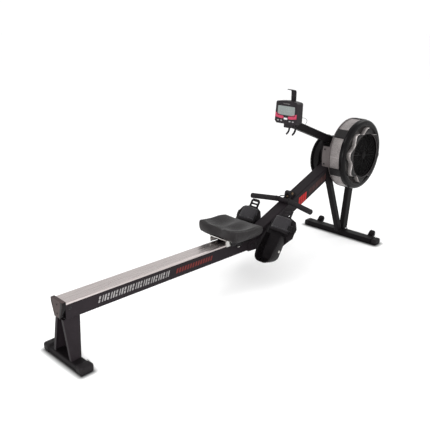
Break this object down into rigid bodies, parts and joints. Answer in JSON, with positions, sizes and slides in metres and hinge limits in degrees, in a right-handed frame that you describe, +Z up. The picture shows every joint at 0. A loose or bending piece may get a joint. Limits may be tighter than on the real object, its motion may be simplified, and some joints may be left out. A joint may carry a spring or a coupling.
{
  "type": "rowing machine",
  "caption": "Indoor air rower: seat on a steel-topped rail, adjustable footrests, pull handle on a chain, side-mounted fan flywheel and swing-up display on a splayed stand.",
  "frame": {"origin": "on the floor under the middle of the overall length and width", "axes": "+X along the rail towards the flywheel, +Y to the rower's left when facing the flywheel, +Z up"},
  "size_m": [2.5, 0.61, 1.1135],
  "materials": {
    "black_paint": "satin black powder coat",
    "black_plastic": "moulded, fine texture",
    "rubber": "matte",
    "cable": "smooth thin lead",
    "seat_vinyl": "soft dark grey vinyl",
    "strap_fabric": "woven, padded",
    "track_steel": "brushed lengthwise",
    "fan_band_steel": "perforated, satin",
    "trim": "satin",
    "zinc": "zinc plated",
    "grey_panel": "satin grey",
    "fan_metal": "satin dark grey",
    "screen": "grey-green display window",
    "white_key": "satin"
  },
  "bodies": {
    "frame": {"arm_pivot_bolt": "zinc", "axle_bearing_left": "zinc", "axle_bearing_right": "zinc", "chain_cover": "black_plastic", "chain_guide": "black_plastic", "column": "black_paint", "column_cover": "grey_panel", "drive_chain": "zinc", "fan_band": "fan_band_steel", "fan_cover_far": "black_plastic", "fan_cover_near": "black_plastic", "fan_guard": "fan_metal", "fan_trim_ring": "trim", "foot_cross_bar": "black_paint", "footboard_left": "black_plastic", "footboard_right": "black_plastic", "front_foot_bar": "black_paint", "front_foot_cap_left": "black_plastic", "front_foot_cap_right": "black_plastic", "front_support_leg": "black_paint", "knee_bracket": "black_paint", "main_beam": "black_paint", "monorail": "black_paint", "rail_end_cap": "black_plastic", "rail_track": "track_steel", "rear_foot_bar": "black_paint", "rear_foot_cap_left": "black_plastic", "rear_foot_cap_right": "black_plastic", "rear_leg": "black_paint", "rear_support_leg": "black_paint", "toe_strap_left": "strap_fabric", "toe_strap_right": "strap_fabric"},
    "seat": {"seat_pad": "seat_vinyl", "seat_carriage": "zinc", "seat_axle_front": "zinc", "seat_axle_rear": "zinc"},
    "roller_front": {"seat_roller_front": "rubber"},
    "roller_rear": {"seat_roller_rear": "rubber"},
    "guide_left": {"guide_roller_left": "rubber"},
    "guide_right": {"guide_roller_right": "rubber"},
    "handle": {"handle_bar": "black_paint", "grip_left": "rubber", "grip_right": "rubber"},
    "sprocket": {"drive_sprocket": "zinc"},
    "flywheel": {"flywheel": "fan_metal", "flywheel_axle": "zinc"},
    "wheel_left": {"transport_wheel_left": "rubber"},
    "wheel_right": {"transport_wheel_right": "rubber"},
    "arm": {"display_arm": "black_paint", "display_cable": "cable"},
    "display": {"display_case": "black_plastic", "display_screen": "screen"},
    "phone_hook": {"phone_hook": "black_plastic"},
    "heel_cup_left": {"heel_cup_left": "rubber"},
    "heel_cup_right": {"heel_cup_right": "rubber"},
    "key_centre": {"key_centre": "white_key"},
    "key_1": {"key_1": "white_key"},
    "key_2": {"key_2": "white_key"},
    "key_3": {"key_3": "white_key"},
    "key_4": {"key_4": "white_key"}
  },
  "joints": [
    {"name": "seat_slide", "type": "slide", "parent": "frame", "child": "seat", "axis": [0.9997, 0, -0.0262], "range_m": [-0.9, 0]},
    {"name": "roller_front_spin", "type": "hinge", "parent": "seat", "child": "roller_front", "pos_m": [-0.03096, 0, 0.31388], "axis": [0, 1, 0], "continuous": true},
    {"name": "roller_rear_spin", "type": "hinge", "parent": "seat", "child": "roller_rear", "pos_m": [-0.15492, 0, 0.31713], "axis": [0, 1, 0], "continuous": true},
    {"name": "guide_left_spin", "type": "hinge", "parent": "seat", "child": "guide_left", "pos_m": [-0.09401, 0.053, 0.27482], "axis": [0, 1, 0], "continuous": true},
    {"name": "guide_right_spin", "type": "hinge", "parent": "seat", "child": "guide_right", "pos_m": [-0.09401, -0.053, 0.27482], "axis": [0, 1, 0], "continuous": true},
    {"name": "handle_pull", "type": "slide", "parent": "frame", "child": "handle", "axis": [-0.9563, 0, 0.2924], "range_m": [0, 1.1]},
    {"name": "sprocket_spin", "type": "hinge", "parent": "frame", "child": "sprocket", "pos_m": [1.016, 0, 0.635], "axis": [0, 1, 0], "continuous": true},
    {"name": "flywheel_spin", "type": "hinge", "parent": "frame", "child": "flywheel", "pos_m": [1.016, 0, 0.635], "axis": [0, 1, 0], "continuous": true},
    {"name": "wheel_left_spin", "type": "hinge", "parent": "frame", "child": "wheel_left", "pos_m": [1.154, 0.2185, 0.043], "axis": [0, 1, 0], "continuous": true},
    {"name": "wheel_right_spin", "type": "hinge", "parent": "frame", "child": "wheel_right", "pos_m": [1.154, -0.2185, 0.043], "axis": [0, 1, 0], "continuous": true},
    {"name": "arm_swing", "type": "hinge", "parent": "frame", "child": "arm", "pos_m": [0.882, 0, 0.73], "axis": [0, 1, 0], "range_deg": [-12, 35]},
    {"name": "display_tilt", "type": "hinge", "parent": "arm", "child": "display", "pos_m": [0.453, 0, 0.899], "axis": [0, 1, 0], "range_deg": [-20, 20], "deforming": ["display_cable"]},
    {"name": "phone_hook_slide", "type": "slide", "parent": "display", "child": "phone_hook", "axis": [0, 0, 1], "range_m": [-0.045, 0.02]},
    {"name": "key_centre_press", "type": "slide", "parent": "display", "child": "key_centre", "axis": [0.9979, 0, -0.0645], "range_m": [0, 0.0015], "stiffness_N_per_m": 400},
    {"name": "key_1_press", "type": "slide", "parent": "display", "child": "key_1", "axis": [0.9979, 0, -0.0645], "range_m": [0, 0.0015], "stiffness_N_per_m": 400},
    {"name": "key_2_press", "type": "slide", "parent": "display", "child": "key_2", "axis": [0.9979, 0, -0.0645], "range_m": [0, 0.0015], "stiffness_N_per_m": 400},
    {"name": "key_3_press", "type": "slide", "parent": "display", "child": "key_3", "axis": [0.9979, 0, -0.0645], "range_m": [0, 0.0015], "stiffness_N_per_m": 400},
    {"name": "key_4_press", "type": "slide", "parent": "display", "child": "key_4", "axis": [0.9979, 0, -0.0645], "range_m": [0, 0.0015], "stiffness_N_per_m": 400},
    {"name": "heel_cup_left_slide", "type": "slide", "parent": "frame", "child": "heel_cup_left", "axis": [0.5446, 0, 0.8387], "range_m": [-0.035, 0.012]},
    {"name": "heel_cup_right_slide", "type": "slide", "parent": "frame", "child": "heel_cup_right", "axis": [0.5446, 0, 0.8387], "range_m": [-0.035, 0.012]}
  ],
  "couplings": [
    {"joint": "roller_front_spin", "follows": "seat_slide", "rad_per_m": 58.824},
    {"joint": "roller_rear_spin", "follows": "seat_slide", "rad_per_m": 58.824},
    {"joint": "sprocket_spin", "follows": "handle_pull", "rad_per_m": 35.336}
  ]
}
